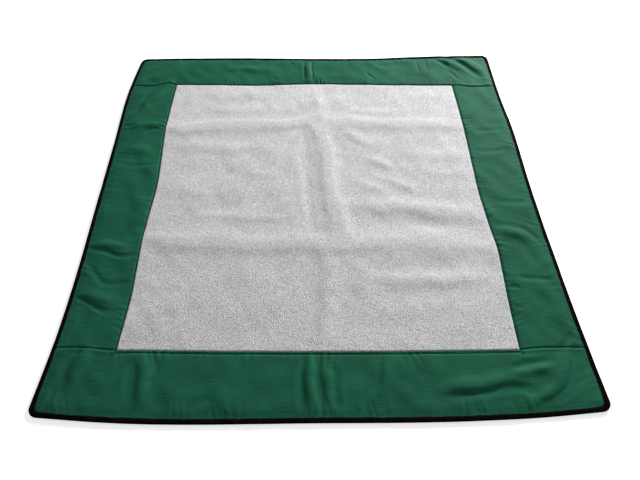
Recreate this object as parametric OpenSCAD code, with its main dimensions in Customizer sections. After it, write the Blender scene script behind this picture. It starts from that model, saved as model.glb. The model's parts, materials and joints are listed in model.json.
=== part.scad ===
// Folding padded game mat: a square of quilted cloth with a fleece centre panel, a border of four
// strips and a binding sewn round the edge. It folds in thirds across its depth, then in half.
// X points right, Y away from the player and Z up. The origin is on the table under the mat's centre.

/* [Mat] */
// Side of the square mat, from edge to edge
mat_side = 914.4; // [600:0.1:1200]
// Thickness of the sewn mat, from backing to top cloth
mat_thick = 3.6; // [3:0.1:6]
// Radius of the outer corners
corner_r = 16; // [15:1:40]
// Width of the border, from the mat's edge to the fleece
border_w = 114.3; // [60:0.1:160]

/* [Layers] */
// Thickness of the border cloth, the backing cloth and the binding
cloth_t = 0.7; // [0.4:0.1:1]
// Thickness of the fleece
fleece_t = 1.4; // [1.1:0.1:1.8]
// Width of the binding on each face
binding_w = 9; // [6:0.5:14]
// Thickness of the binding where it folds round the edge
binding_fold_t = 1; // [0.5:0.1:1.5]
// Clearance between pieces sewn side by side
seam_gap = 0.3; // [0.1:0.1:0.5]

/* [Folds] */
// Distance of the back crease behind the mat's centre
back_crease = 195; // [160:1:220]
// Distance of the front crease in front of the mat's centre
front_crease = 135; // [100:1:150]
// Width of the slit that each crease leaves between two panels
crease_w = 1; // [0.6:0.1:2]

/* [Hidden] */
$fn = 64;
half = mat_side / 2;
fleece_half = half - border_w;
wadding_low = cloth_t;
wadding_high = mat_thick - cloth_t;
fleece_low = mat_thick - fleece_t;
fleece_colour = "gainsboro";
border_colour = "#2f6e53";
backing_colour = "#275c46";
binding_colour = "#1a1611";
wadding_colour = "white";

ROWS = ["back", "middle", "front"];
SIDES = ["left", "right"];

// Names of the pieces of cloth in a panel of each row: the outer rows also hold a strip of the border
function layers(row) = concat(
    ["fleece", "side_strip", "wadding", "backing", "binding"],
    row == "middle" ? [] : [str(row, "_strip")]
);
function full_name(row, side, layer) = str(row, "_", side, "_", layer);
NODES = [for (row = ROWS, side = SIDES, layer = layers(row)) full_name(row, side, layer)];
node = "all";

function is_shown(row, side, layer) = node == "all" || node == full_name(row, side, layer);

// Each row's limits along Y, with half a slit left at each crease
function row_low(row) =
    row == "back" ? back_crease + crease_w / 2 :
    row == "middle" ? -front_crease + crease_w / 2 :
    -half;
function row_high(row) =
    row == "back" ? half :
    row == "middle" ? back_crease - crease_w / 2 :
    -front_crease - crease_w / 2;

// The mat's outline, drawn in by inset on all sides, as straight sides and round corners
module outline(inset) {
    r = corner_r - inset;
    reach = half - inset;
    square([2 * reach, 2 * (reach - r)], center = true);
    square([2 * (reach - r), 2 * reach], center = true);
    for (x = [-1, 1], y = [-1, 1])
        translate([x * (reach - r), y * (reach - r)]) circle(r);
}

// The rectangle of one panel
module panel(row, side) {
    low = row_low(row);
    left = side == "left" ? -half : crease_w / 2;
    translate([left, low]) square([half - crease_w / 2, row_high(row) - low]);
}

// A layer of one panel: the part of the drawn shape that lies in the panel, from low to high
module layer(row, side, low, high) {
    translate([0, 0, low])
        linear_extrude(high - low)
            intersection() {
                children();
                panel(row, side);
            }
}

// The fleece's square, grown by a clearance on each side
module fleece_square(grow) {
    square(2 * (fleece_half + grow), center = true);
}

// The band of the outline between two insets
module ring(outer, inner) {
    difference() {
        outline(outer);
        outline(inner);
    }
}

// Centre panel of fleece, the face that dice and tiles land on
module fleece(row, side) {
    color(fleece_colour)
        layer(row, side, fleece_low, mat_thick) fleece_square(-seam_gap / 2);
}

// Border cloth at the side of the fleece, between the back strip and the front strip
module side_strip(row, side) {
    color(border_colour)
        layer(row, side, wadding_high, mat_thick)
            difference() {
                intersection() {
                    outline(binding_w + seam_gap);
                    square([mat_side, 2 * fleece_half - seam_gap], center = true);
                }
                fleece_square(seam_gap / 2);
            }
}

// Border cloth along the whole back edge or front edge, out to the side bindings
module edge_strip(row, side) {
    away = row == "back" ? 1 : -1;
    color(border_colour)
        layer(row, side, wadding_high, mat_thick)
            intersection() {
                outline(binding_w + seam_gap);
                translate([0, away * (fleece_half + half) / 2])
                    square([mat_side, border_w - seam_gap], center = true);
            }
}

// Thin wadding quilted between the top cloth and the backing, thinner under the fleece
module wadding(row, side) {
    color(wadding_colour) {
        layer(row, side, wadding_low, fleece_low) outline(binding_fold_t + seam_gap);
        layer(row, side, fleece_low, wadding_high)
            difference() {
                outline(binding_fold_t + seam_gap);
                fleece_square(seam_gap / 2);
            }
    }
}

// Cloth under the whole mat
module backing(row, side) {
    color(backing_colour)
        layer(row, side, 0, cloth_t) outline(binding_w + seam_gap);
}

// Binding tape folded round the edge, with a leg on the top and a leg on the underside
module binding(row, side) {
    color(binding_colour) {
        layer(row, side, 0, mat_thick) ring(0, binding_fold_t);
        layer(row, side, 0, cloth_t) ring(0, binding_w);
        layer(row, side, wadding_high, mat_thick) ring(0, binding_w);
    }
}

for (row = ROWS, side = SIDES) {
    if (is_shown(row, side, "fleece")) fleece(row, side);
    if (is_shown(row, side, "side_strip")) side_strip(row, side);
    if (is_shown(row, side, "wadding")) wadding(row, side);
    if (is_shown(row, side, "backing")) backing(row, side);
    if (is_shown(row, side, "binding")) binding(row, side);
    if (row != "middle" && is_shown(row, side, str(row, "_strip"))) edge_strip(row, side);
}
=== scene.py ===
import json
import math

import bpy
import numpy as np
from mathutils import Matrix, Vector


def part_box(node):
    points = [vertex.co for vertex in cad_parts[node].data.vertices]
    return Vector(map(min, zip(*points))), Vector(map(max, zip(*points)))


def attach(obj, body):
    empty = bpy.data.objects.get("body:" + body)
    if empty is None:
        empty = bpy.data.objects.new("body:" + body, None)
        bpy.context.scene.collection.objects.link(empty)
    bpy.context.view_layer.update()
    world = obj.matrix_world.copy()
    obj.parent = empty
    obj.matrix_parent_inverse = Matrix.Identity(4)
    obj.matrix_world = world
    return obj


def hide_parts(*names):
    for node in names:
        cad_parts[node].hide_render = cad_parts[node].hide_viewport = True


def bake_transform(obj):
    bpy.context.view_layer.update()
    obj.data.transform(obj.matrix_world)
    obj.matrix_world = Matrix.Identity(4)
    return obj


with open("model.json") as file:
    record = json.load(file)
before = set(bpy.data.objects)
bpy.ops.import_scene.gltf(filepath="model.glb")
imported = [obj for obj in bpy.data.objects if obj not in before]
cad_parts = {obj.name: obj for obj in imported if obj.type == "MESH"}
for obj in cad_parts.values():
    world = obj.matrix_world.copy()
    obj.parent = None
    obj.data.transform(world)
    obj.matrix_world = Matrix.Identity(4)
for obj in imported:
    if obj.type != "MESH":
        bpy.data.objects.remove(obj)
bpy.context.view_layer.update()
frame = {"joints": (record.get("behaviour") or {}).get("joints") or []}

# The mat is worked out in millimetres, in the frame's axes: P to the right and Q away from the player on the
# flat cut cloth, X, Y and Z where that cloth lies. Meshes are made in metres.
MM = 0.001

# ---------------------------------------------------------------- sizes, from the frame
JOINTS = {joint["name"]: joint for joint in frame["joints"]}
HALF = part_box("back_right_binding")[1].x / MM
BINDING_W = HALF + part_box("middle_left_binding")[1].x / MM
FLEECE_HALF = (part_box("back_right_fleece")[1].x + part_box("back_right_side_strip")[0].x) / 2 / MM
BACK_CREASE = JOINTS["back_fold"]["pos_m"][1] / MM
FRONT_CREASE = JOINTS["front_fold"]["pos_m"][1] / MM
CORNER_R = 16.0

# Half of the width over which cloth turns at each crease, and of the strip cut out for the centre crease
BACK_TURN = 12.0
FRONT_TURN = 6.0
CENTRE_TURN = 16.0
TURN_MARGIN = 4.0
CENTRE_STRIP = 36.0

# Heights over the table of the layers where the mat lies flat
FLEECE_TOP = 4.3
BORDER_TOP = 3.6
THINNEST = 2.1  # of the whole mat where stitching or a furrow presses it down
DEEPEST_FURROW = 1.0
HIGHEST_FOLD = 4.3
LIFTED = 0.2  # how much of a fold's height shows on the underside
CLOTH_T = 0.7
FLEECE_T = 2.0
BACKING_T = 0.6
TUCK_UNDER_BINDING = 4.5  # how far the border cloth stops short of the outer edge
# From the fleece's edge out to the stitched ditch
SIDE_DITCH = 1.7
BACK_DITCH = 2.2
FRONT_DITCH = 4.4
PADDING = 1.5  # how far the wadding swells the border
WADDING_TOP = 1.25
WADDING_PRESSED = 0.6  # how much lower it is under the binding
THINNEST_WADDING = 0.12
LAYER_GAP = 0.08
SEAM_DEPTH = 1.9  # of the seams between the strips


# ---------------------------------------------------------------- plain numeric helpers
def smoothstep(low, high, value):
    t = np.clip((value - low) / (high - low), 0.0, 1.0)
    return t * t * (3.0 - 2.0 * t)


def hump(distance, width):
    """1 at no distance, easing to 0 on both sides."""
    return np.exp(-((distance / width) ** 2))


def smooth_curve(points, at):
    """The value at `at` of a smooth curve through (place, value) points, held level past its ends."""
    place, value = np.array(points, float).T
    slope = np.gradient(value, place)
    at = np.clip(at, place[0], place[-1])
    i = np.clip(np.searchsorted(place, at, side="right") - 1, 0, len(place) - 2)
    span = place[i + 1] - place[i]
    t = (at - place[i]) / span
    return (
        (2 * t**3 - 3 * t**2 + 1) * value[i]
        + (t**3 - 2 * t**2 + t) * span * slope[i]
        + (3 * t**2 - 2 * t**3) * value[i + 1]
        + (t**3 - t**2) * span * slope[i + 1]
    )


def ripple(along, seed, shortest, longest, waves=9):
    """Irregular waves along a line, from about -1 to 1."""
    rng = np.random.default_rng(seed)
    total = 0.0
    for _ in range(waves):
        length = rng.uniform(shortest, longest)
        total = total + np.sin(2 * math.pi * (along / length + rng.random()))
    return total / math.sqrt(waves)


def undulation(p, q, seed, shortest, longest, waves=18):
    """Irregular waves over an area, from about -1 to 1."""
    rng = np.random.default_rng(seed)
    total = np.zeros(np.broadcast(p, q).shape)
    for _ in range(waves):
        turn = rng.uniform(0, math.pi)
        length = rng.uniform(shortest, longest)
        across = p * math.cos(turn) + q * math.sin(turn)
        total = total + np.sin(2 * math.pi * (across / length + rng.random()))
    return total / math.sqrt(waves)


def grid_quads(index):
    """The faces between the points of a grid, from the grid of the points' numbers."""
    corners = [index[:-1, :-1], index[:-1, 1:], index[1:, 1:], index[1:, :-1]]
    return np.stack(corners, axis=-1).reshape(-1, 4)


def four_sides(p, q):
    """For the right, left, back and front side: distance out towards it, and place along it."""
    return enumerate(((p, q), (-p, q), (q, p), (-q, p)))


def new_object(name, data):
    made = bpy.data.objects.new(name, data)
    bpy.context.scene.collection.objects.link(made)
    return made


def flat_square(name, half, height=0.0):
    """A level square round the origin, in metres."""
    mesh = bpy.data.meshes.new(name)
    corners = [(-half, -half), (half, -half), (half, half), (-half, half)]
    mesh.from_pydata([(x, y, height) for x, y in corners], [], [(0, 1, 2, 3)])
    return new_object(name, mesh)


# ---------------------------------------------------------------- how the cloth lies on the table
# How far each edge of the mat and of the fleece lies from its straight line, as a few points drawn:
# (place along the edge, shift)
LEFT_EDGE = [(-457, -5), (-350, 3), (0, 2), (150, -1), (300, -5), (457, 5)]
RIGHT_EDGE = [(-457, 10), (-300, 3), (0, -3), (200, 0), (300, -4), (457, -4)]
BACK_EDGE = [(-457, -9), (-250, -4), (150, -3), (300, 6), (457, 12)]
FRONT_EDGE = [(-457, 11), (-350, 2), (0, -3), (250, -2), (350, 2), (457, 11)]
FLEECE_LEFT = [(-343, -2), (-250, 2), (-100, -1), (0, 3), (200, -7), (343, -5)]
FLEECE_RIGHT = [(-343, -2), (-250, 0), (-130, 4), (-50, -2), (200, -1), (343, -3)]
FLEECE_BACK = [(-343, 3), (-120, 1), (0, 7), (100, 4), (343, 2)]
FLEECE_FRONT = [(-343, 4), (-150, 0), (50, -2), (343, -1)]

# How far the seams between the strips stray from straight on beyond the fleece's corners, by their place
# across the mat. Between the corners they don't stray.
BACK_JOINTS = [(-457, -2), (-400, -5), (-360, 5), (-343, 0), (-330, 0), (330, 0), (343, 0), (357, 2),
               (375, -2), (457, -1)]
FRONT_JOINTS = [(-457, 5), (-400, 4), (-343, 0), (-330, 0), (330, 0), (343, 0), (362, 2), (457, 3)]


def lie(p, q):
    """Where a point of the flat cloth lies on the table, seen from above."""
    def shift(along, across, *lines):
        """Evenly from each of the four edges and seams to the next, and on past the outer ones."""
        places = [-HALF, -FLEECE_HALF, FLEECE_HALF, HALF]
        reach = [-math.inf, -FLEECE_HALF, FLEECE_HALF, math.inf]
        shifts = [smooth_curve(line, along) for line in lines]
        moved = np.zeros(np.broadcast(along, across).shape)
        for i in range(3):
            t = (across - places[i]) / (places[i + 1] - places[i])
            inside = (across >= reach[i]) & (across <= reach[i + 1])
            moved = np.where(inside, shifts[i] + (shifts[i + 1] - shifts[i]) * t, moved)
        return moved

    x = p + shift(q, p, LEFT_EDGE, FLEECE_LEFT, FLEECE_RIGHT, RIGHT_EDGE)
    y = q + shift(p, q, FRONT_EDGE, FLEECE_FRONT, FLEECE_BACK, BACK_EDGE)
    for joints, line in ((BACK_JOINTS, FLEECE_HALF), (FRONT_JOINTS, -FLEECE_HALF)):
        y = y + smooth_curve(joints, p) * hump(q - line, 16.0)
    return x, y


def round_corners(p, q, inset):
    """Rounds the corners of the square that ends inset from the mat's edge, by moving points inward."""
    start = HALF - CORNER_R
    radius = CORNER_R - inset
    u = np.clip((np.abs(p) - start) / radius, 0, 1)
    v = np.clip((np.abs(q) - start) / radius, 0, 1)
    in_corner = (u > 0) & (v > 0)
    round_p = np.sign(p) * (start + radius * u * np.sqrt(1 - v * v / 2))
    round_q = np.sign(q) * (start + radius * v * np.sqrt(1 - u * u / 2))
    return np.where(in_corner, round_p, p), np.where(in_corner, round_q, q)


# Folds and wrinkles, listed one by one: (height, half width, points of the path). A negative height is a
# furrow.
CREASES = [
    (4.9, 20, [(-352, 184), (-285, 188), (-220, 200), (-100, 198), (0, 205), (120, 203), (230, 200),
               (342, 196)]),
    (4.9, 22, [(-345, -116), (-260, -122), (-140, -130), (0, -129), (90, -128), (160, -124), (230, -131),
               (345, -138)]),
    (4.2, 18, [(10, 226), (12, 180), (15, 130), (21, 40), (30, -40), (38, -90), (44, -130)]),
]
WRINKLES = [
    # softer waves of the fleece, in front of and behind the creases
    (2.3, 15, [(-335, 132), (-250, 128), (-190, 126), (-110, 131)]),
    (1.0, 9, [(-255, -60), (-150, -63), (-45, -66)]),
    (3.3, 19, [(45, -36), (130, -34), (210, -42), (290, -52), (342, -52)]),
    (-1.3, 13, [(70, -86), (180, -84), (270, -92), (335, -90)]),
    (1.8, 12, [(95, -205), (170, -209), (250, -207), (338, -198)]),
    (1.0, 20, [(-320, -212), (-250, -216), (-190, -212)]),
    (0.9, 16, [(80, -262), (200, -266), (325, -262)]),
    (0.8, 16, [(-310, -262), (-230, -256), (-160, -260)]),
    (1.5, 13, [(-255, 254), (-185, 250), (-105, 254)]),
    (1.4, 12, [(75, 248), (140, 244), (205, 240)]),
    (0.8, 18, [(-60, 270), (20, 274), (100, 280)]),
    (0.9, 16, [(-300, 300), (-200, 306), (-120, 300)]),
    (0.9, 16, [(170, 300), (240, 306), (310, 290), (330, 250)]),
    (1.4, 12, [(55, 186), (95, 160), (140, 138)]),
    (1.2, 10, [(108, 92), (140, 84), (168, 70)]),
    (-1.7, 9, [(130, 58), (142, 50)]),
    (1.3, 10, [(146, 40), (180, 22), (212, 4)]),
    (1.0, 9, [(96, 30), (120, 14), (150, -4)]),
    (1.0, 14, [(190, 112), (260, 104), (335, 110)]),
    (0.9, 13, [(230, 58), (280, 50), (338, 56)]),
    (-0.8, 20, [(-330, 62), (-230, 46), (-130, 60)]),
    (1.0, 20, [(-320, 10), (-220, -4), (-110, 4)]),
    (0.9, 14, [(-170, 70), (-120, 52), (-70, 48)]),
    # beside the wide crease of the last fold, and where it runs on towards the seams
    (-1.2, 8, [(-30, 190), (-28, 110), (-24, 20), (-14, -60), (-6, -100)]),
    (1.0, 10, [(2, 340), (5, 270), (8, 215)]),
    (1.0, 12, [(14, -158), (10, -240), (4, -335)]),
    # back strip
    (-2.5, 3.0, [(-27, 440), (-27, 400), (-25, 362)]),
    (2.0, 5.0, [(-17, 440), (-17, 400), (-17, 360)]),
    (-2.5, 3.0, [(-8, 440), (-8, 400), (-6, 358)]),
    (4.1, 10, [(-410, 352), (-375, 385), (-330, 432)]),
    (-2.6, 7, [(-432, 372), (-398, 402), (-360, 440)]),
    (-2.9, 5, [(308, 446), (326, 432), (346, 414)]),
    (-3.9, 5.5, [(345, 448), (382, 420), (422, 370)]),
    (4.1, 8, [(368, 452), (402, 426), (436, 388)]),
    (2.9, 7, [(330, 442), (356, 420), (388, 392)]),
    (-2.5, 4, [(344, 394), (354, 380), (362, 364)]),
    (-2.0, 3.0, [(267, 442), (268, 420), (266, 396)]),
    (-1.7, 3.0, [(288, 440), (290, 420), (289, 404)]),
    (-2.2, 3.5, [(131, 392), (138, 380), (148, 372)]),
    (-1.7, 6, [(160, 428), (190, 422), (215, 428)]),
    (1.7, 9, [(-230, 400), (-180, 408), (-120, 398)]),
    (-1.4, 4, [(-110, 372), (-96, 362)]),
    # left strip
    (-2.6, 5, [(-378, 336), (-402, 300), (-414, 262), (-440, 236)]),
    (2.9, 7, [(-366, 322), (-392, 284), (-410, 250)]),
    (-2.2, 4.5, [(-352, 305), (-378, 284), (-400, 262)]),
    (-2.6, 5, [(-352, 186), (-384, 182), (-410, 164), (-420, 140)]),
    (2.5, 7, [(-354, 200), (-392, 200), (-425, 190)]),
    (-1.7, 3.5, [(-448, 196), (-428, 194), (-412, 200)]),
    (-1.7, 4, [(-424, 78), (-400, 74), (-366, 76)]),
    (-1.4, 3, [(-446, 24), (-436, 30)]),
    (1.7, 10, [(-440, 110), (-400, 118), (-355, 108)]),
    (-3.4, 4.0, [(-452, -138), (-420, -147), (-384, -158), (-352, -154)]),
    (2.5, 7, [(-440, -128), (-405, -133), (-365, -138)]),
    (-2.0, 4, [(-438, -176), (-418, -196), (-396, -214), (-352, -214)]),
    (-3.4, 4.0, [(-450, -242), (-416, -256), (-386, -270), (-348, -278)]),
    (2.5, 8, [(-440, -232), (-405, -242), (-365, -252)]),
    (-1.4, 3, [(-446, -300), (-436, -296)]),
    # right strip
    (-1.2, 5, [(360, 120), (395, 114), (425, 118)]),
    (-1.1, 5, [(366, 186), (400, 184), (430, 188)]),
    (-1.4, 5, [(366, -22), (400, -26), (440, -24)]),
    (-2.9, 4.5, [(354, -86), (384, -84), (412, -96), (436, -122)]),
    (2.5, 8, [(362, -102), (390, -104), (412, -122)]),
    (-1.8, 3.5, [(350, -226), (360, -224), (370, -226)]),
    (-1.7, 4, [(372, -204), (400, -206), (430, -212)]),
    (-1.4, 3, [(352, -262), (366, -262)]),
    # front strip
    (-3.6, 5, [(-404, -346), (-416, -366), (-422, -392)]),
    (3.2, 7, [(-386, -346), (-398, -372), (-406, -404)]),
    (-3.0, 4, [(-426, -414), (-430, -432), (-434, -446)]),
    (-2.5, 6, [(-310, -364), (-304, -396), (-306, -420)]),
    (2.0, 8, [(-292, -360), (-286, -392), (-288, -425)]),
    (-2.0, 5, [(-268, -360), (-272, -382), (-280, -398)]),
    (-3.2, 5, [(-24, -354), (-30, -390), (-28, -436)]),
    (2.6, 6, [(-12, -352), (-16, -390), (-13, -438)]),
    (-2.6, 5, [(0, -356), (-4, -388), (2, -425)]),
    (1.7, 7, [(14, -360), (12, -400), (16, -438)]),
    (-2.0, 5, [(26, -370), (24, -400), (28, -436)]),
    (-2.5, 5, [(104, -362), (96, -390), (78, -420), (74, -442)]),
    (2.0, 7, [(118, -360), (110, -390), (96, -425)]),
    (-2.9, 4.5, [(322, -376), (350, -368), (386, -364)]),
    (2.6, 6, [(318, -386), (350, -380), (388, -374)]),
    (-3.0, 6, [(205, -424), (260, -414), (316, -408), (352, -414)]),
    (2.6, 9, [(200, -408), (262, -398), (322, -392)]),
    (2.9, 9, [(330, -440), (372, -420), (400, -388), (430, -342)]),
    (-2.5, 6, [(352, -442), (392, -414), (418, -380), (442, -330)]),
    (-2.0, 5, [(376, -436), (410, -412), (434, -380)]),
    (-2.0, 5, [(400, -352), (424, -336), (440, -312)]),
    (-1.4, 5, [(-200, -436), (-190, -424), (-172, -420)]),
]

# The square grid that the folds are laid on
FIELD_STEP = 2.0
FIELD_HALF = 470.0
WIDEST_FURROW = 7.0  # half width of the sharp furrows in the border; wider ones are soft


def path_points(points, pieces=6):
    """A smooth path through the points, as short straight pieces."""
    stops = np.arange(len(points))
    at = np.linspace(0, len(points) - 1, pieces * (len(points) - 1) + 1)
    columns = np.array(points, float).T
    return np.stack([smooth_curve(list(zip(stops, column)), at) for column in columns], axis=1)


def to_path(p, q, path):
    """Distance from each point to the path, and how far along the path the nearest place is, from 0 to 1."""
    nearest = np.full(p.shape, 1e9)
    along = np.zeros(p.shape)
    for i, (a, b) in enumerate(zip(path[:-1], path[1:])):
        d = b - a
        t = np.clip(((p - a[0]) * d[0] + (q - a[1]) * d[1]) / (d @ d), 0, 1)
        distance = np.hypot(p - a[0] - t * d[0], q - a[1] - t * d[1])
        closer = distance < nearest
        nearest = np.where(closer, distance, nearest)
        along = np.where(closer, (i + t) / (len(path) - 1), along)
    return nearest, along


def add_folds(field, grid_p, grid_q, folds, profile, taper):
    """Adds each fold to the field, only where it reaches."""
    for height, width, points in folds:
        path = path_points(points)
        reach = 4 * width
        low, high = path.min(axis=0) - reach, path.max(axis=0) + reach
        cols = np.flatnonzero((grid_p[0] >= low[0]) & (grid_p[0] <= high[0]))
        rows = np.flatnonzero((grid_q[:, 0] >= low[1]) & (grid_q[:, 0] <= high[1]))
        part = np.ix_(rows, cols)
        distance, along = to_path(grid_p[part], grid_q[part], path)
        ends = smoothstep(0, taper, along) * smoothstep(0, taper, 1 - along)
        field[part] += height * (0.25 + 0.75 * ends) * profile(distance / width)


def round_fold(d):
    """Cross section of a soft wrinkle, by the distance in half widths."""
    return np.exp(-d * d / 1.4)


def sharp_furrow(d):
    """Cross section of a furrow pressed into the border, with a raised lip on each side."""
    return 0.75 * np.exp(-1.5 * (np.sqrt(d * d + 0.04) - 0.2)) - 0.22 * hump(d - 2.1, 0.8)


def fold_field():
    """Heights of all folds on a regular grid over the mat."""
    line = np.arange(-FIELD_HALF, FIELD_HALF + FIELD_STEP, FIELD_STEP)
    grid_p, grid_q = np.meshgrid(line, line)
    bend_p = grid_p + 2.0 * undulation(grid_p, grid_q, 3, 50, 140)
    bend_q = grid_q + 2.5 * undulation(grid_p, grid_q, 4, 50, 140)
    field = np.zeros(grid_p.shape)
    add_folds(field, bend_p, bend_q, CREASES, lambda d: np.exp(-(np.sqrt(d * d + 0.16) - 0.4)), 0.12)
    furrows = [fold for fold in WRINKLES if fold[0] < 0 and fold[1] <= WIDEST_FURROW]
    waves = [fold for fold in WRINKLES if fold not in furrows]
    add_folds(field, bend_p, bend_q, waves, round_fold, 0.3)
    add_folds(field, bend_p, bend_q, furrows, sharp_furrow, 0.1)
    field += 0.50 * undulation(grid_p, grid_q, 11, 70, 260)
    field += 0.22 * undulation(grid_p, grid_q, 12, 24, 70, waves=26)
    return field


def blur(field, cells):
    """Gaussian blur, cells wide."""
    reach = math.ceil(3 * cells)
    weights = np.exp(-(np.arange(-reach, reach + 1) ** 2) / (2 * cells * cells))
    weights /= weights.sum()
    field = np.pad(field, reach, mode="edge")
    for axis in (0, 1):
        field = np.apply_along_axis(lambda line: np.convolve(line, weights, mode="valid"), axis, field)
    return field


SIM_STEP = 7.0  # between the points of the simulated sheet
SIM_FRAMES = 20
SIM_LIFT = 3.0  # height at which the simulated sheet starts and its edge is held


def simulated_sheet(line, heights):
    """The mat's top as one sheet lying on the table, held along the binding and the fleece's seam. It has a
    little more cloth than room, more in the border than in the fleece, so it buckles and settles. Takes and
    gives heights on the square grid of a line of places."""
    p, q = np.meshgrid(line, line)
    quads = grid_quads(np.arange(p.size).reshape(p.shape))
    uneven = np.random.default_rng(8).normal(0, 0.15, p.shape)
    points = np.stack([p, q, SIM_LIFT + np.maximum(heights, 0.5 - SIM_LIFT) + uneven], axis=-1)
    mesh = bpy.data.meshes.new("sheet")
    mesh.from_pydata((points.reshape(-1, 3) * MM).tolist(), [], quads.tolist())
    sheet = new_object("sheet", mesh)
    outward = (np.maximum(np.abs(p), np.abs(q)) - FLEECE_HALF).ravel()
    held = sheet.vertex_groups.new(name="held")
    held.add(np.flatnonzero(np.abs(outward) < SIM_STEP / 2).tolist(), 0.9, "REPLACE")
    held.add(np.flatnonzero(outward > line[-1] - FLEECE_HALF - 0.1).tolist(), 1.0, "REPLACE")
    border = sheet.vertex_groups.new(name="border")
    border.add(np.flatnonzero(outward > 0).tolist(), 1.0, "REPLACE")

    table = flat_square("table", 1.0)
    table.modifiers.new("collision", "COLLISION")
    table.collision.thickness_outer = 0.001
    table.collision.cloth_friction = 20

    cloth = sheet.modifiers.new("cloth", "CLOTH")
    cloth.point_cache.frame_end = SIM_FRAMES + 1
    cloth.collision_settings.distance_min = 0.001
    wanted = {
        "quality": 6, "mass": 0.03, "tension_stiffness": 15, "compression_stiffness": 15,
        "shear_stiffness": 5, "bending_stiffness": 20, "tension_damping": 10, "compression_damping": 10,
        "shear_damping": 5, "bending_damping": 1, "air_damping": 2, "vertex_group_mass": "held",
        "pin_stiffness": 1, "vertex_group_shrink": "border", "shrink_min": -0.004, "shrink_max": -0.025,
    }
    for key, value in wanted.items():
        setattr(cloth.settings, key, value)
    for number in range(1, SIM_FRAMES + 1):
        bpy.context.scene.frame_set(number)
    settled = sheet.evaluated_get(bpy.context.evaluated_depsgraph_get()).data
    places = np.zeros(points.size)
    settled.vertices.foreach_get("co", places)
    bpy.context.scene.frame_set(1)
    for thing in (sheet, table):
        bpy.data.objects.remove(thing)
    return places.reshape(points.shape)[..., 2] / MM


def add_settled_wrinkles(field):
    """Adds to the drawn folds the smaller wrinkles that the cloth makes as it settles over them."""
    grid_line = np.linspace(-FIELD_HALF, FIELD_HALF, field.shape[0])
    half = HALF - BINDING_W / 2
    sim_line = np.linspace(-half, half, round(2 * half / SIM_STEP) + 1)
    nearest = np.clip(np.rint((sim_line + FIELD_HALF) / FIELD_STEP).astype(int), 0, len(grid_line) - 1)
    height = blur(simulated_sheet(sim_line, field[np.ix_(nearest, nearest)]), 0.8)
    height = np.stack([np.interp(grid_line, sim_line, row) for row in height])
    height = np.stack([np.interp(grid_line, sim_line, col) for col in height.T]).T
    height = blur(height, 2.0)
    wrinkles = np.clip(height - blur(height, 14.0), -1.6, 2.4)
    grid_p, grid_q = np.meshgrid(grid_line, grid_line)
    in_border = smoothstep(-4, 8, np.maximum(np.abs(grid_p), np.abs(grid_q)) - FLEECE_HALF)
    return field + wrinkles * (0.40 + 0.50 * in_border)


FOLD_FIELD = fold_field()
FOLD_FIELD = add_settled_wrinkles(FOLD_FIELD)


def folds(p, q):
    """Height of the folds at a point, lower towards the mat's edge, where the binding holds it flat."""
    u = np.clip((p + FIELD_HALF) / FIELD_STEP, 0, FOLD_FIELD.shape[1] - 1.001)
    v = np.clip((q + FIELD_HALF) / FIELD_STEP, 0, FOLD_FIELD.shape[0] - 1.001)
    i, j = u.astype(int), v.astype(int)
    s, t = u - i, v - j
    height = (
        FOLD_FIELD[j, i] * (1 - s) * (1 - t)
        + FOLD_FIELD[j, i + 1] * s * (1 - t)
        + FOLD_FIELD[j + 1, i] * (1 - s) * t
        + FOLD_FIELD[j + 1, i + 1] * s * t
    )
    height = -keep_above(-keep_above(height, -DEEPEST_FURROW), -HIGHEST_FOLD, 0.8)
    return height * (0.5 + 0.5 * smoothstep(4, 28, from_edge(p, q)))


def keep_above(height, low, softness=0.3):
    """The height, eased so that it never drops under low."""
    return low + softness * np.logaddexp(0.0, (height - low) / softness)


def from_edge(p, q):
    """Distance in from the mat's rounded outline."""
    start = HALF - CORNER_R
    ex, ey = np.abs(p) - start, np.abs(q) - start
    return CORNER_R - np.hypot(np.maximum(ex, 0), np.maximum(ey, 0)) - np.minimum(np.maximum(ex, ey), 0)


def from_fleece(p, q):
    """Distance out from the fleece's square."""
    return np.hypot(np.maximum(np.abs(p) - FLEECE_HALF, 0), np.maximum(np.abs(q) - FLEECE_HALF, 0))


def crosswise(p, q):
    """0 beside the fleece, 1 behind and in front of it, and in between round its corners."""
    beside = np.maximum(np.abs(p) - FLEECE_HALF, 0)
    beyond = np.maximum(np.abs(q) - FLEECE_HALF, 0)
    return beyond / (beside + beyond + 1e-6)


def from_ditch(p, q):
    """Distance out from the line of the stitched ditch."""
    share = crosswise(p, q)
    ditch = SIDE_DITCH * (1 - share) + np.where(q > 0, BACK_DITCH, FRONT_DITCH) * share
    return from_fleece(p, q) - ditch


def lift(p, q):
    """How far the underside stands off the table."""
    height = folds(p, q)
    return LIFTED * np.where(height > 0.4, height - 0.2, height * height / 0.8 * (height > 0))


def pleats(along, away, seed, reach):
    """Small gathers that a seam pulls into the cloth beside it: round lobes with sharp furrows between."""
    wave = ripple(along + 0.45 * away * np.sin(along / 37.0), seed, 14, 48)
    size = 0.55 + 0.6 * ripple(along, seed + 50, 50, 140, waves=4)
    return (np.sqrt(np.abs(wave) + 0.01) - 0.72) * np.clip(size, 0.08, 1.5) * np.exp(-away / reach)


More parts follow.
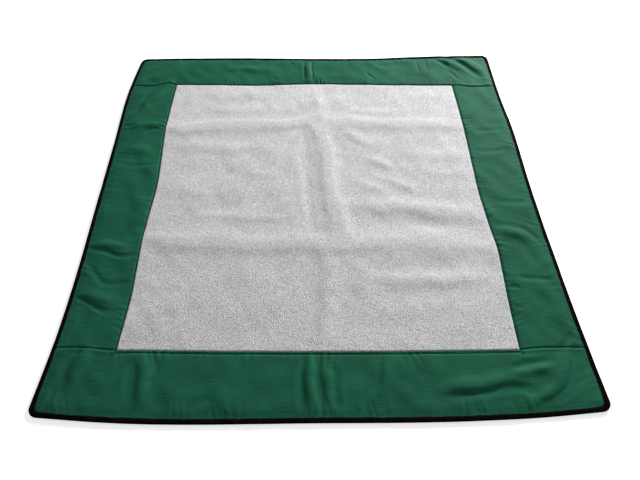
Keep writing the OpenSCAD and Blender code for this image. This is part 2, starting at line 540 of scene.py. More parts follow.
def border_pleats(p, q):
    """The gathers of the border along the fleece's seam and along the binding."""
    total = np.zeros(np.broadcast(p, q).shape)
    for k, (across, along) in four_sides(p, q):
        away = across - FLEECE_HALF
        beside = smoothstep(-2, 2, away) * (1 - smoothstep(FLEECE_HALF + 6, FLEECE_HALF + 26, np.abs(along)))
        total = total + 2.8 * beside * pleats(along, np.maximum(away, 0), 20 + k, 13)
        inward = HALF - BINDING_W - across
        near = smoothstep(-6, 2, inward) * (1 - smoothstep(HALF - 40, HALF - 20, np.abs(along)))
        away = np.maximum(inward, 0)
        total = total + near * (2.6 * pleats(along, away, 30 + k, 15) + 1.5 * pleats(along, away, 60 + k, 6))
    return total


def border_height(p, q):
    """Top of the border cloth: padded between the stitched ditch and the binding."""
    inner, outer = from_fleece(p, q), from_edge(p, q)
    free = smoothstep(BINDING_W - 3, BINDING_W + 14, outer)
    padding = PADDING * (1 - np.exp(-inner / 12)) * free
    depth = 1.3 + 0.9 * crosswise(p, q)
    ditch = -depth * hump(from_ditch(p, q), 1.9) - 0.7 * hump(inner, 1.5)
    joint = np.abs(q) - FLEECE_HALF
    at_side = smoothstep(FLEECE_HALF, FLEECE_HALF + 3, np.abs(p))
    seam = (-SEAM_DEPTH * hump(joint, 1.5) + 0.6 * hump(joint - 4, 3)) * at_side
    height = (
        BORDER_TOP + padding + ditch + (seam + border_pleats(p, q)) * (0.25 + 0.75 * free)
        + folds(p, q) * (0.8 + 0.2 * free)
    )
    return keep_above(height, lift(p, q) + THINNEST, 0.2)


def fleece_height(p, q):
    """Top of the fleece, whose edge turns down into the seam."""
    edge = FLEECE_HALF - np.maximum(np.abs(p), np.abs(q))
    turned = 1 - np.clip(edge / 2.2, 0, 1)
    roll = -1.7 * (1 - np.sqrt(1 - turned * turned)) - 0.35 * np.exp(-edge / 9)
    pulled = 0.0
    for k, (across, along) in four_sides(p, q):
        away = np.maximum(FLEECE_HALF - across, 0)
        pulled = pulled + 0.5 * pleats(along, away, 40 + k, 12)
    return FLEECE_TOP + roll + pulled + folds(p, q)


def underside(p, q):
    """Bottom face of the backing, drawn up a little along the stitched ditch."""
    in_ditch = hump(from_ditch(p, q), 1.8)
    soft = 0.2 * (1 + undulation(p, q, 15, 30, 120)) * smoothstep(BINDING_W, BINDING_W + 20, from_edge(p, q))
    return lift(p, q) + 0.45 * in_ditch + np.clip(soft, 0, 0.45) * (1 - in_ditch)


# ---------------------------------------------------------------- stations and mesh making
def stations(low, high, step, fine, cuts):
    """Places from low to high, closer inside each (centre, reach, step) of fine and with one at each cut."""
    stops = {low, high, *[c for c in cuts if low < c < high]}
    for centre, reach, _ in fine:
        stops.update(c for c in (centre - reach, centre + reach) if low < c < high)
    stops = sorted(stops)
    places = [stops[0]]
    for a, b in zip(stops[:-1], stops[1:]):
        middle = (a + b) / 2
        here = min([s for centre, reach, s in fine if abs(middle - centre) < reach] + [step])
        count = max(1, math.ceil((b - a) / here - 1e-6))
        places.extend(a + (b - a) * (k + 1) / count for k in range(count))
    return np.array(places)


# Where the pieces are cut, and where their stations lie closer: (centre, reach, step)
BACK_CUT = BACK_CREASE - BACK_TURN - TURN_MARGIN
FRONT_CUT = FRONT_CREASE + FRONT_TURN + TURN_MARGIN
P_CUTS = [-FLEECE_HALF, -CENTRE_STRIP, 0.0, CENTRE_STRIP, FLEECE_HALF]
Q_CUTS = [-FLEECE_HALF, FRONT_CUT, BACK_CUT, FLEECE_HALF]
TURNS_P = [(0.0, CENTRE_TURN + 1, 1.0)]
TURNS_Q = [(BACK_CREASE, BACK_TURN + 1, 0.8), (FRONT_CREASE, FRONT_TURN + 1, 0.6)]
FLEECE_STEP = 3.0
BORDER_STEP = 2.6
TAPE_STEP = 2.4
HIDDEN_STEP = 5.0
SEAMS = [(side * (FLEECE_HALF + 2), 7.0, 1.0) for side in (-1, 1)]
EDGES = [(side * (HALF - 10), 10.0, 1.8) for side in (-1, 1)]


class Zone:
    """A stretch of the mat that one piece of each layer covers: it rides on a body, or, where it lies
    between two, stays fixed where it is made.
    """

    def __init__(self, name, p_range, q_range, bodies, start=None, end=None):
        self.name, self.p_range, self.q_range = name, p_range, q_range
        self.bodies, self.start, self.end = bodies, start, end

    def place(self, piece):
        if len(self.bodies) == 1:
            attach(piece, self.bodies[0])
        else:
            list(self.bodies)
            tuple(self.start)
            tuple(self.end)
            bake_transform(piece)


def along_q(q):
    return (0.0, q * MM, 0.0)


FAR = 1000.0  # beyond the mat's edge
ZONES = []
for side, p_range in (("left", (-FAR, 0.0)), ("right", (0.0, FAR))):
    ZONES.append(Zone(f"back_{side}", p_range, (BACK_CUT, FAR), (f"middle_{side}", f"back_{side}"),
                      along_q(BACK_CREASE - BACK_TURN), along_q(BACK_CREASE + BACK_TURN)))
    ZONES.append(Zone(f"front_{side}", p_range, (-FAR, FRONT_CUT), (f"middle_{side}", f"front_{side}"),
                      along_q(FRONT_CREASE + FRONT_TURN), along_q(FRONT_CREASE - FRONT_TURN)))
MIDDLE_Q = (FRONT_CUT, BACK_CUT)
ZONES.append(Zone("middle_left", (-FAR, -CENTRE_STRIP), MIDDLE_Q, ("middle_left",)))
ZONES.append(Zone("middle_centre", (-CENTRE_STRIP, CENTRE_STRIP), MIDDLE_Q, ("middle_left", "middle_right"),
                  (-CENTRE_TURN * MM, 0.0, 0.0), (CENTRE_TURN * MM, 0.0, 0.0)))
ZONES.append(Zone("middle_right", (CENTRE_STRIP, FAR), MIDDLE_Q, ("middle_right",)))


def new_mesh_object(name, points_mm, faces, material, uv_mm, normals=None):
    """A smooth mesh whose UV map, in metres, is its place on the flat cloth."""
    mesh = bpy.data.meshes.new(name)
    mesh.from_pydata((points_mm * MM).tolist(), [], faces)
    mesh.polygons.foreach_set("use_smooth", np.ones(len(mesh.polygons), bool))
    layer = mesh.uv_layers.new(name="cloth")
    corner = np.zeros(len(mesh.loops), np.int32)
    mesh.loops.foreach_get("vertex_index", corner)
    layer.data.foreach_set("uv", (uv_mm[corner] * MM).astype(np.float32).ravel())
    mesh.materials.append(material)
    if normals is not None:
        mesh.normals_split_custom_set_from_vertices(normals.tolist())
    mesh.update()
    return new_object(name, mesh)


def grid_normals(points):
    """Upward unit normals of a grid of points."""
    across = np.gradient(points, axis=1)
    along = np.gradient(points, axis=0)
    normal = np.cross(across, along)
    return normal / np.linalg.norm(normal, axis=2, keepdims=True)


def shell(name, top, bottom, uv, normals, material):
    """A closed thin cloth between two grids of the same size."""
    rows, cols = top.shape[:2]
    index = np.arange(rows * cols).reshape(rows, cols)
    quads = grid_quads(index)
    rim = np.concatenate([index[0, :], index[1:, -1], index[-1, -2::-1], index[-2::-1, 0]])
    under = rows * cols
    walls = np.stack([rim[:-1], rim[:-1] + under, rim[1:] + under, rim[1:]], axis=-1)
    faces = np.concatenate([quads, quads[:, ::-1] + under, walls])
    points = np.concatenate([top.reshape(-1, 3), bottom.reshape(-1, 3)])
    flat_normals = normals.reshape(-1, 3)
    both = np.concatenate([flat_normals, -flat_normals])
    both_uv = np.concatenate([uv.reshape(-1, 2)] * 2)
    return new_mesh_object(name, points, faces.tolist(), material, both_uv, both)


def nodes_under(zone, layer):
    """CAD nodes of one layer that a zone's piece stands for."""
    row, side = zone.name.split("_")
    sides = ["left", "right"] if side == "centre" else [side]
    return [f"{row}_{side}_{layer}" for side in sides]


def layer_pieces(name, layer, ps, qs, inset, top_of, bottom_of, material, down=False):
    """One cloth as a piece in each zone that it reaches, which stands for a CAD layer. down says that its
    bottom face is the one that shows."""
    flat_p, flat_q = np.meshgrid(ps, qs)
    p, q = round_corners(flat_p, flat_q, inset)
    x, y = lie(p, q)
    top = np.stack([x, y, top_of(p, q)], axis=-1)
    bottom = np.stack([x, y, bottom_of(p, q)], axis=-1)
    normals = grid_normals(bottom if down else top)
    uv = np.stack([p, q], axis=-1)
    made = []
    for zone in ZONES:
        cols = np.flatnonzero((ps >= zone.p_range[0] - 1e-6) & (ps <= zone.p_range[1] + 1e-6))
        rows = np.flatnonzero((qs >= zone.q_range[0] - 1e-6) & (qs <= zone.q_range[1] + 1e-6))
        if len(cols) < 2 or len(rows) < 2:
            continue
        part = np.ix_(rows, cols)
        piece = shell(f"{name}_{zone.name}", top[part], bottom[part], uv[part], normals[part], material)
        zone.place(piece)
        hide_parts(*nodes_under(zone, layer))
        size = (float(np.ptp(ps[cols]) * MM), float(np.ptp(qs[rows]) * MM))
        made.append((zone, piece, size))
    return made


# ---------------------------------------------------------------- materials
def set_inputs(tree, node, inputs):
    """Links each input to a socket, or gives it a plain value."""
    for key, value in inputs.items():
        if isinstance(value, bpy.types.NodeSocket):
            tree.links.new(value, node.inputs[key])
        else:
            node.inputs[key].default_value = value


class Shader:
    """A node material with the few links that the cloths need."""

    def __init__(self, name):
        self.material = bpy.data.materials.new(name)
        self.material.use_nodes = True
        self.tree = self.material.node_tree
        self.surface = self.tree.nodes["Principled BSDF"]
        self.cloth = self.add("ShaderNodeUVMap", uv_map="cloth").outputs["UV"]

    def add(self, kind, inputs=None, **settings):
        node = self.tree.nodes.new(kind)
        for key, value in settings.items():
            setattr(node, key, value)
        set_inputs(self.tree, node, inputs or {})
        return node

    def stretch(self, scale, turn=0.0):
        """The cloth's flat coordinates, scaled apart along P and Q."""
        inputs = {"Vector": self.cloth, "Scale": (*scale, 1.0), "Rotation": (0.0, 0.0, turn)}
        return self.add("ShaderNodeMapping", inputs).outputs["Vector"]

    def noise(self, scale, detail=3.0, roughness=0.6, vector=None):
        inputs = {"Vector": vector or self.cloth, "Scale": scale, "Detail": detail, "Roughness": roughness}
        return self.add("ShaderNodeTexNoise", inputs).outputs["Fac"]

    def spread(self, value, low, high, new_low, new_high):
        inputs = {"Value": value, "From Min": low, "From Max": high, "To Min": new_low, "To Max": new_high}
        return self.add("ShaderNodeMapRange", inputs).outputs["Result"]

    def calc(self, operation, a, b):
        return self.add("ShaderNodeMath", {0: a, 1: b}, operation=operation).outputs[0]

    def tint(self, colour, factor):
        """A colour times a grey value."""
        node = self.add("ShaderNodeVectorMath", {0: colour, 1: factor}, operation="MULTIPLY")
        return node.outputs["Vector"]

    def mix(self, factor, a, b):
        node = self.add("ShaderNodeMix", {"Factor": factor, 6: a, 7: b}, data_type="RGBA")
        return node.outputs[2]

    def wave(self, direction, vector, scale, distortion=0.0, detail=2.0):
        inputs = {"Vector": vector, "Scale": scale, "Distortion": distortion, "Detail": detail}
        return self.add("ShaderNodeTexWave", inputs, bands_direction=direction).outputs["Fac"]

    def bump(self, height, distance, strength=1.0, under=None):
        inputs = {"Height": height, "Distance": distance, "Strength": strength}
        if under is not None:
            inputs["Normal"] = under
        return self.add("ShaderNodeBump", inputs).outputs["Normal"]

    def finish(self, colour, roughness, normal, sheen=0.0, sheen_roughness=0.5, sheen_tint=(1, 1, 1, 1),
               specular=0.3):
        set_inputs(self.tree, self.surface, {
            "Base Color": colour, "Roughness": roughness, "Normal": normal, "Sheen Weight": sheen,
            "Sheen Roughness": sheen_roughness, "Sheen Tint": sheen_tint, "Specular IOR Level": specular,
        })
        return self.material


def fleece_material():
    s = Shader("fleece")
    tufts = s.add("ShaderNodeTexVoronoi", {"Vector": s.stretch((1.0, 1.3), 0.3), "Scale": 640.0})
    tuft = tufts.outputs["Distance"]
    fibre = s.noise(1700.0, 2.0)
    clump = s.noise(150.0, 4.0, 0.7)
    nap = s.noise(14.0, 3.0, 0.55, s.stretch((0.6, 1.6), 0.35))
    # painted shade and highlight: the colour darkens into the gaps between the tufts and lightens on their
    # tops
    value = s.calc("MULTIPLY", s.spread(tuft, 0.1, 0.75, 1.22, 0.54),
                   s.spread(clump, 0.3, 0.7, 0.84, 1.12))
    value = s.calc("MULTIPLY", value, s.spread(nap, 0.35, 0.65, 0.955, 1.04))
    value = s.calc("MULTIPLY", value, s.spread(fibre, 0.3, 0.7, 0.84, 1.16))
    colour = s.tint((0.768, 0.766, 0.795), value)
    pile = s.bump(s.calc("SUBTRACT", 1.0, tuft), 0.0015, 0.7)
    fuzz = s.bump(s.calc("ADD", fibre, clump), 0.0008, 0.6, pile)
    return s.finish(colour, 1.0, fuzz, sheen=0.3, sheen_roughness=0.45, specular=0.08)


def woven_material(name, base, light, sheen):
    """Plain woven cloth with slubs: threads that are here and there thicker and lighter."""
    s = Shader(name)
    weft = s.noise(1.0, 2.0, 0.5, s.stretch((26.0, 900.0)))
    warp = s.noise(1.0, 2.0, 0.5, s.stretch((900.0, 26.0)))
    faded = s.noise(9.0, 4.0, 0.6)
    weave = s.calc("MULTIPLY", *(s.wave(direction, s.cloth, 260.0, 0.6, 1.0) for direction in "XY"))
    slub = s.calc("ADD", s.calc("MULTIPLY", weft, 0.75), s.calc("MULTIPLY", warp, 0.25))
    colour = s.mix(s.spread(slub, 0.32, 0.68, 0.0, 1.0), base, light)
    value = s.calc("MULTIPLY", s.spread(faded, 0.3, 0.7, 0.90, 1.10), s.spread(weave, 0.0, 1.0, 0.86, 1.10))
    colour = s.tint(colour, value)
    threads = s.bump(s.calc("ADD", weave, s.calc("MULTIPLY", slub, 1.5)), 0.00025, 0.6)
    roughness = s.spread(slub, 0.3, 0.7, 0.62, 0.78)
    return s.finish(colour, roughness, threads, sheen=sheen, sheen_roughness=0.35,
                    sheen_tint=(0.30, 0.85, 0.60, 1.0), specular=0.045)


def binding_material():
    s = Shader("binding_tape")
    rib = s.wave("X", s.stretch((1.0, 1.0), 0.785), 330.0, 0.8, 1.0)
    # noise for the tape's wear and for breaking up its painted highlight
    wear_and_highlight_noise = s.noise(55.0, 4.0, 0.65)
    black = (0.0022, 0.0019, 0.0016, 1)
    faded = (0.0065, 0.0040, 0.0025, 1)
    # painted highlight colour for the outer side of the fold
    highlight_brown = (0.0125, 0.0062, 0.0032, 1)
    colour = s.mix(s.spread(wear_and_highlight_noise, 0.42, 0.68, 0.0, 1.0), black, faded)
    # painted highlight: browner on the outer side of the fold, which is more than half way across the tape
    across = s.add("ShaderNodeSeparateXYZ", {"Vector": s.cloth}).outputs["Y"]
    highlight_side = s.spread(across, 0.0095, 0.0125, 0.0, 1.0)
    colour = s.mix(s.calc("MULTIPLY", highlight_side, s.spread(wear_and_highlight_noise, 0.3, 0.6, 0.4, 1.0)), colour, highlight_brown)
    colour = s.tint(colour, s.spread(rib, 0.0, 1.0, 0.75, 1.2))
    ribs = s.bump(s.calc("ADD", rib, wear_and_highlight_noise), 0.0003, 0.5)
    return s.finish(colour, s.spread(wear_and_highlight_noise, 0.3, 0.7, 0.85, 1.0), ribs, specular=0.015)


def thread_material(name, colour):
    s = Shader(name)
    ply = s.wave("X", s.stretch((1.0, 1.0), 0.6), 700.0)
    shade = s.tint(colour, s.spread(ply, 0.0, 1.0, 0.7, 1.3))
    return s.finish(shade, 0.7, s.bump(ply, 0.0001, 0.6), specular=0.12)


def wadding_material():
    s = Shader("wadding")
    fluff = s.noise(240.0, 5.0, 0.75)
    colour = s.tint((0.82, 0.82, 0.79), s.spread(fluff, 0.2, 0.8, 0.85, 1.1))
    return s.finish(colour, 1.0, s.bump(fluff, 0.001, 0.8), sheen=0.2)


FLEECE = fleece_material()
BORDER = woven_material("border_cloth", (0.009, 0.080, 0.043, 1), (0.017, 0.134, 0.077, 1), 0.04)
BACKING = woven_material("backing_cloth", (0.006, 0.074, 0.039, 1), (0.012, 0.120, 0.067, 1), 0.03)
BINDING = binding_material()
DITCH_THREAD = thread_material("ditch_thread", (0.003, 0.015, 0.010))
BINDING_THREAD = thread_material("binding_thread", (0.016, 0.012, 0.010))
WADDING = wadding_material()


# ---------------------------------------------------------------- cloth layers
def layer_stations(reach, step, fine):
    """Stations of a square layer along P and along Q, closer in the stretches of fine and at the creases."""
    return (stations(-reach, reach, step, TURNS_P + fine, P_CUTS),
            stations(-reach, reach, step, TURNS_Q + fine, Q_CUTS))


def hidden_stations(reach):
    """Stations of the two lower layers, which are coarser than those of the top."""
    seams = [(side * (FLEECE_HALF + 3), 6.0, 1.5) for side in (-1, 1)]
    edges = [(side * (HALF - 10), 10.0, 3.0) for side in (-1, 1)]
    return layer_stations(reach, HIDDEN_STEP, seams + edges)


def make_wadding():
    inset = BINDING_W - 3
    ps, qs = hidden_stations(HALF - inset)

    def bottom_of(p, q):
        return underside(p, q) + BACKING_T + LAYER_GAP

    def top_of(p, q):
        pressed = WADDING_PRESSED * (from_edge(p, q) < BINDING_W)
        return np.maximum(bottom_of(p, q) + THINNEST_WADDING, lift(p, q) + WADDING_TOP - pressed)

    made = layer_pieces("wadding", "wadding", ps, qs, inset, top_of, bottom_of, WADDING)


def make_backing():
    ps, qs = hidden_stations(HALF - TUCK_UNDER_BINDING)

    def bottom_of(p, q):
        return underside(p, q) + 0.35 * (1 - smoothstep(BINDING_W - 1, BINDING_W + 2, from_edge(p, q)))

    def top_of(p, q):
        return bottom_of(p, q) + BACKING_T

    made = layer_pieces("backing", "backing", ps, qs, TUCK_UNDER_BINDING, top_of, bottom_of,
                        BACKING, down=True)


def make_fleece():
    ps, qs = layer_stations(FLEECE_HALF, FLEECE_STEP, SEAMS)

    def bottom_of(p, q):
        return FLEECE_TOP - FLEECE_T + folds(p, q)

    made = layer_pieces("fleece", "fleece", ps, qs, 0.0, fleece_height, bottom_of, FLEECE)


def make_strips():
    """The back and front strips run the full width, and the side strips lie between them."""
    reach = HALF - TUCK_UNDER_BINDING
    whole_p, whole_q = layer_stations(reach, BORDER_STEP, SEAMS + EDGES)

    def within(places, low, high):
        return places[(places >= low - 1e-6) & (places <= high + 1e-6)]

    def bottom_of(p, q):
        return border_height(p, q) - CLOTH_T

    # name of the strip, its stations, and the CAD layer that it stands for in each zone
    fleece_q = within(whole_q, -FLEECE_HALF, FLEECE_HALF)
    strips = [
        ("back_strip", whole_p, within(whole_q, FLEECE_HALF, reach), "back_strip"),
        ("front_strip", whole_p, within(whole_q, -reach, -FLEECE_HALF), "front_strip"),
        ("left_strip", within(whole_p, -reach, -FLEECE_HALF), fleece_q, "side_strip"),
        ("right_strip", within(whole_p, FLEECE_HALF, reach), fleece_q, "side_strip"),
    ]
    for name, ps, qs, layer in strips:
        made = layer_pieces(name, layer, ps, qs, TUCK_UNDER_BINDING, border_height,
                            bottom_of, BORDER)


# ---------------------------------------------------------------- binding
TAPE_T = 0.75
TAPE_MIDDLE = 5.0  # inset of the middle of the tape's top face
TAPE_FOLLOWS = 0.8  # share of the folds' height that its top face takes on
WIDER_AT_CORNER = 0.35  # where the tape lies double, mitred
WIDER_AT_BACK = 0.15

# Lengths along the mat's outer outline
STRAIGHT = 2 * (HALF - CORNER_R)
ARC = math.pi / 2 * CORNER_R
QUARTER = STRAIGHT + ARC
OUTLINE = 4 * QUARTER


def outline_at(along, inset):
    """A point of the mat's outline drawn in by inset. along runs anticlockwise from the middle of the right
    edge and counts the outer outline's own length, so that every inset shares its stations."""
    moved = np.asarray(along, float) % OUTLINE + STRAIGHT / 2
    side = np.floor(moved / QUARTER).astype(int)
    rest = moved - side * QUARTER
    on_arc = np.clip(rest - STRAIGHT, 0, ARC) / ARC * math.pi / 2
    start = HALF - CORNER_R
    x = start + (CORNER_R - inset) * np.cos(on_arc)
    y = -start + np.minimum(rest, STRAIGHT) + (CORNER_R - inset) * np.sin(on_arc)
    turn = side * math.pi / 2
    return x * np.cos(turn) - y * np.sin(turn), x * np.sin(turn) + y * np.cos(turn)


def binding_section(count=9):
    """The tape's outer face across its width, as (inset, height) from the top leg's edge, round the fold, to
    the bottom leg's edge."""
    leg = [(BINDING_W, 3.25), (BINDING_W - 0.5, 3.75), (BINDING_W - 2.2, 4.25), (4.6, 4.45)]
    turn = np.linspace(math.pi / 2, -math.pi / 2, count)
    fold = [(2.9 - 2.9 * math.cos(a), 2.2 + 2.2 * math.sin(a)) for a in turn]
    under = [(5.0, 0.0), (BINDING_W - 0.5, 0.0), (BINDING_W + 0.2, 0.25)]
    return np.array(leg + fold + under)


def tape_loop():
    """The folded tape's closed cross section, how far across the flat tape each of its points lies, and the
    flat tape's width."""
    outer = binding_section()
    direction = np.gradient(outer, axis=0)
    normal = np.stack([-direction[:, 1], direction[:, 0]], axis=1)
    normal /= np.linalg.norm(normal, axis=1, keepdims=True)
    centre = np.array([4.0, 2.1])
    inward = np.sign(((centre - outer) * normal).sum(axis=1, keepdims=True)) * normal
    inner = outer + inward * TAPE_T
    loop = np.concatenate([outer, inner[::-1]])
    tape_width = float(np.linalg.norm(np.diff(outer, axis=0), axis=1).sum())
    across = np.linspace(0, tape_width, len(outer))
    return loop, np.concatenate([across, across[::-1]]), tape_width


def make_binding():
    loop, across, tape_width = tape_loop()
    # Stretches of the outline between the creases and the centre line, and where the creases meet it
    runs = [
        ("middle_right", FRONT_CUT, BACK_CUT),
        ("back_right", BACK_CUT, QUARTER),
        ("back_left", QUARTER, 2 * QUARTER - BACK_CUT),
        ("middle_left", 2 * QUARTER - BACK_CUT, 2 * QUARTER - FRONT_CUT),
        ("front_left", 2 * QUARTER - FRONT_CUT, 3 * QUARTER),
        ("front_right", 3 * QUARTER, OUTLINE + FRONT_CUT),
    ]
    fine = TURNS_Q + [(2 * QUARTER - c, r, s) for c, r, s in TURNS_Q]
    fine += [(OUTLINE + c, r, s) for c, r, s in TURNS_Q]
    for name, start, end in runs:
        places = stations(start, end, TAPE_STEP, fine, [])
        dips = 0.5 + 0.5 * np.cos(2 * math.pi * places / STITCH_PITCH)
        swell = 0.25 * ripple(places, 71, 25, 90)
        to_corner = np.abs((places - STRAIGHT / 2 - ARC / 2 + QUARTER / 2) % QUARTER - QUARTER / 2)
        at_back = smoothstep(HALF - 40, HALF - 10, outline_at(places, 0.0)[1])
        wider = 1.0 + WIDER_AT_CORNER * hump(to_corner, 22.0) + WIDER_AT_BACK * at_back
        lifted = lift(*outline_at(places, TAPE_MIDDLE))
        rows = []
        for inset, height in loop:
            p, q = outline_at(places, inset * wider)
            top_share = smoothstep(0.4, 3.4, height)
            crown = hump(inset - TAPE_MIDDLE, 3.2) * top_share
            stitched = 0.45 * hump(inset - STITCH_INSET, 0.9) * dips
            x, y = lie(p, q)
            over = height + lifted + top_share * (TAPE_FOLLOWS * folds(p, q) - lifted)
            z = over + swell * crown - stitched * top_share + stitched * 0.6 * (1 - top_share)
            rows.append(np.stack([x, y, np.maximum(z, 0.0)], axis=-1))
        grid = np.stack(rows, axis=1)
        count, around = grid.shape[:2]
        index = np.arange(count * around).reshape(count, around)
        nxt = np.roll(index, -1, axis=1)
        quads = np.stack([index[:-1], index[1:], nxt[1:], nxt[:-1]], axis=-1).reshape(-1, 4)
        ends = []
        for ring, flip in ((index[0], 1), (index[-1], -1)):
            for k in range(around // 2 - 1):
                ends.append([ring[k], ring[k + 1], ring[-2 - k], ring[-1 - k]][::flip])
        uv = np.stack([np.repeat(places, around), np.tile(across, count)], axis=-1)
        faces = np.concatenate([quads, np.array(ends)])
        piece = new_mesh_object(f"binding_{name}", grid.reshape(-1, 3), faces.tolist(), BINDING, uv)
        zone = next(z for z in ZONES if z.name == name)
        zone.place(piece)
        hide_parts(f"{name}_binding")


# ---------------------------------------------------------------- stitching
STITCH_PITCH = 4.0
STITCH_INSET = 7.4
STITCH_OVERRUN = 5.0  # the ditch stitching runs past the fleece's corners
STITCH_LENGTH = 3.1


def stitch_shape(length, radius, sides=6):
    """One stitch lying along X: a short thread that dives into the cloth at each end."""
    stops = np.array([-0.5, -0.38, 0.0, 0.38, 0.5]) * length
    rise = np.array([-0.9, -0.15, 0.25, -0.15, -0.9]) * radius
    size = np.array([0.45, 0.9, 1.0, 0.9, 0.45]) * radius
    points = []
    for stop, high, r in zip(stops, rise, size):
        for k in range(sides):
            a = 2 * math.pi * k / sides
            points.append((stop, r * math.cos(a), high + r * math.sin(a)))
    faces = []
    for ring in range(len(stops) - 1):
        for k in range(sides):
            a, b = ring * sides + k, ring * sides + (k + 1) % sides
            faces.append((a, b, b + sides, a + sides))
    last = (len(stops) - 1) * sides
    faces.append(tuple(range(sides - 1, -1, -1)))
    faces.append(tuple(last + k for k in range(sides)))
    return np.array(points), faces


def seam_line(a, b):
    """Centres and directions of the stitches on the straight run between two flat points."""
    along = np.array(b, float) - a
    length = np.linalg.norm(along)
    count = round(length / STITCH_PITCH)
    centres = a + along * (np.arange(count)[:, None] + 0.5) / count
    return centres, np.tile(along / length, (count, 1))


def make_stitches(name, centres, directions, height_of, flip, material, radius=0.38):
    """Lays a stitch at each centre on the cloth, upside down if flip, and gathers them by zone."""
    rng = np.random.default_rng(5)
    shape, faces = stitch_shape(STITCH_LENGTH, radius)
    centres = centres + rng.normal(0, 0.12, (len(centres), 2))
    for zone in ZONES:
        inside = (
            (centres[:, 0] >= zone.p_range[0]) & (centres[:, 0] < zone.p_range[1])
            & (centres[:, 1] >= zone.q_range[0]) & (centres[:, 1] < zone.q_range[1])
        )
        if not inside.any():
            continue
        c, d = centres[inside], directions[inside]
        turn = rng.normal(0, 0.06, len(c))
        dx = d[:, 0] * np.cos(turn) - d[:, 1] * np.sin(turn)
        dy = d[:, 0] * np.sin(turn) + d[:, 1] * np.cos(turn)
        p = c[:, :1] + shape[None, :, 0] * dx[:, None] - shape[None, :, 1] * dy[:, None]
        q = c[:, 1:] + shape[None, :, 0] * dy[:, None] + shape[None, :, 1] * dx[:, None]
        x, y = lie(p, q)
        base = height_of(c[:, 0], c[:, 1])[:, None]
        ahead = height_of(c[:, 0] + dx, c[:, 1] + dy)[:, None] - base
        rise = shape[None, :, 2] * (-1 if flip else 1)
        z = base + ahead * shape[None, :, 0] + rise
        points = np.stack([x, y, np.maximum(z, 0.0)], axis=-1).reshape(-1, 3)
        count = len(shape)
        all_faces = [tuple(i + count * k for i in face) for k in range(len(c)) for face in faces]
        mesh_faces = [face[::-1] for face in all_faces] if flip else all_faces
        uv = np.tile(shape[:, :2], (len(c), 1)) + np.repeat(c, count, axis=0)
        piece = new_mesh_object(f"{name}_{zone.name}", points, mesh_faces, material, uv)
        zone.place(piece)


def make_all_stitches():
    """The ditch round the fleece and the binding's seam, each on the top and on the underside."""
    side, back, front = FLEECE_HALF + SIDE_DITCH, FLEECE_HALF + BACK_DITCH, FLEECE_HALF + FRONT_DITCH
    over = STITCH_OVERRUN
    runs = [
        seam_line((-side - over, back), (side + over, back)),
        seam_line((-side - over, -front), (side + over, -front)),
        seam_line((-side, -front - over), (-side, back + over)),
        seam_line((side, -front - over), (side, back + over)),
    ]
    centres, directions = (np.concatenate(part) for part in zip(*runs))

    def in_ditch(p, q):
        return border_height(p, q) + 0.28

    def below_ditch(p, q):
        return underside(p, q) - 0.2

    make_stitches("ditch_stitches", centres, directions, in_ditch, False, DITCH_THREAD, 0.5)
    make_stitches("ditch_stitches_under", centres, directions, below_ditch, True, DITCH_THREAD)
    count = round(OUTLINE / STITCH_PITCH)
    along = (np.arange(count) + 0.5) * OUTLINE / count
    p, q = outline_at(along, STITCH_INSET)
    ahead_p, ahead_q = outline_at(along + 0.5, STITCH_INSET)
    directions = np.stack([ahead_p - p, ahead_q - q], axis=1)
    directions /= np.linalg.norm(directions, axis=1, keepdims=True)
    centres = np.stack([p, q], axis=1)

    def on_tape(p, q):
        return 3.95 + TAPE_FOLLOWS * folds(p, q)

    def under_tape(p, q):
        return lift(p, q) + 0.15

    make_stitches("binding_stitches", centres, directions, on_tape, False, BINDING_THREAD)
    make_stitches("binding_stitches_under", centres, directions, under_tape, True, BINDING_THREAD,
                  0.3)


make_wadding()
make_backing()
make_fleece()
make_strips()
make_binding()
make_all_stitches()


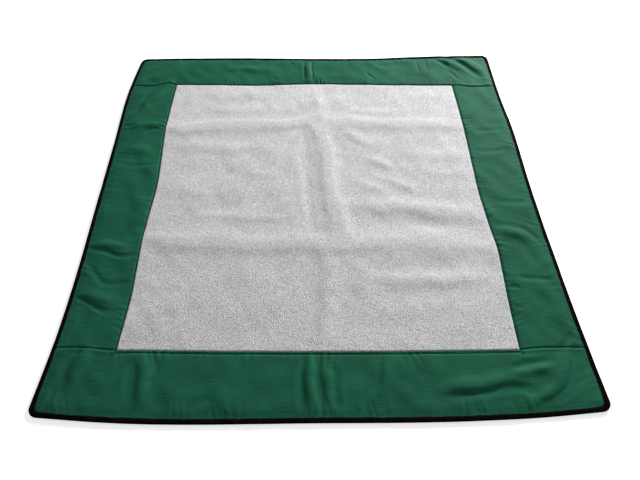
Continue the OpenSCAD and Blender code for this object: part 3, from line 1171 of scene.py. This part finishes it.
# ---------------------------------------------------------------- floor, lights and camera
def make_floor():
    """A white ground that glows a little, so that it stays white away from the light."""
    floor = flat_square("floor", 6.0, -0.0002)
    material = bpy.data.materials.new("floor")
    material.use_nodes = True
    set_inputs(material.node_tree, material.node_tree.nodes["Principled BSDF"], {
        "Base Color": (0.93, 0.93, 0.93, 1), "Roughness": 0.9, "Specular IOR Level": 0.1,
        "Emission Color": (1, 1, 1, 1), "Emission Strength": 0.55,
    })
    floor.data.materials.append(material)


def area_light(name, place, size, power, colour):
    """A rectangular light that faces the origin."""
    light = bpy.data.lights.new(name, "AREA")
    light.shape = "RECTANGLE"
    light.size, light.size_y = size
    light.energy = power
    light.color = colour
    lamp = new_object(name, light)
    lamp.location = place
    lamp.rotation_euler = (-Vector(place)).to_track_quat("-Z", "Y").to_euler()


def make_lights():
    world = bpy.data.worlds.new("studio")
    world.use_nodes = True
    background = world.node_tree.nodes["Background"]
    set_inputs(world.node_tree, background, {"Color": (1, 1, 1, 1), "Strength": 0.33})
    bpy.context.scene.world = world
    area_light("window", (1.40, 1.95, 0.92), (1.0, 0.5), 134.0, (1.0, 0.995, 0.985))


def make_camera():
    """Stands over the table just in front of the mat and looks down at it, turned and tipped a little."""
    pitch, yaw, roll = 0.9893, 0.0327, 0.0238
    # its place from the middle of the mat's top: right, away from the player and up, in sides of the mat
    right_by, away_by, up_by = -0.0154, -0.6823, 0.8413
    mat_side = 2 * HALF * MM
    forward = Vector((math.sin(yaw) * math.cos(pitch), math.cos(yaw) * math.cos(pitch), -math.sin(pitch)))
    right = Vector((math.cos(yaw), -math.sin(yaw), 0))
    up = right.cross(forward)
    camera_x = math.cos(roll) * right + math.sin(roll) * up
    camera_y = -math.sin(roll) * right + math.cos(roll) * up
    place = Vector((right_by * mat_side, away_by * mat_side, up_by * mat_side + FLEECE_TOP * MM))
    data = bpy.data.cameras.new("camera")
    data.sensor_width = 36.0
    data.lens = 26.44
    camera = new_object("camera", data)
    axes = Matrix((camera_x, camera_y, -forward)).transposed().to_4x4()
    camera.matrix_world = Matrix.Translation(place) @ axes
    bpy.context.scene.camera = camera


make_floor()
make_lights()
make_camera()
bpy.context.scene.view_settings.view_transform = "Standard"
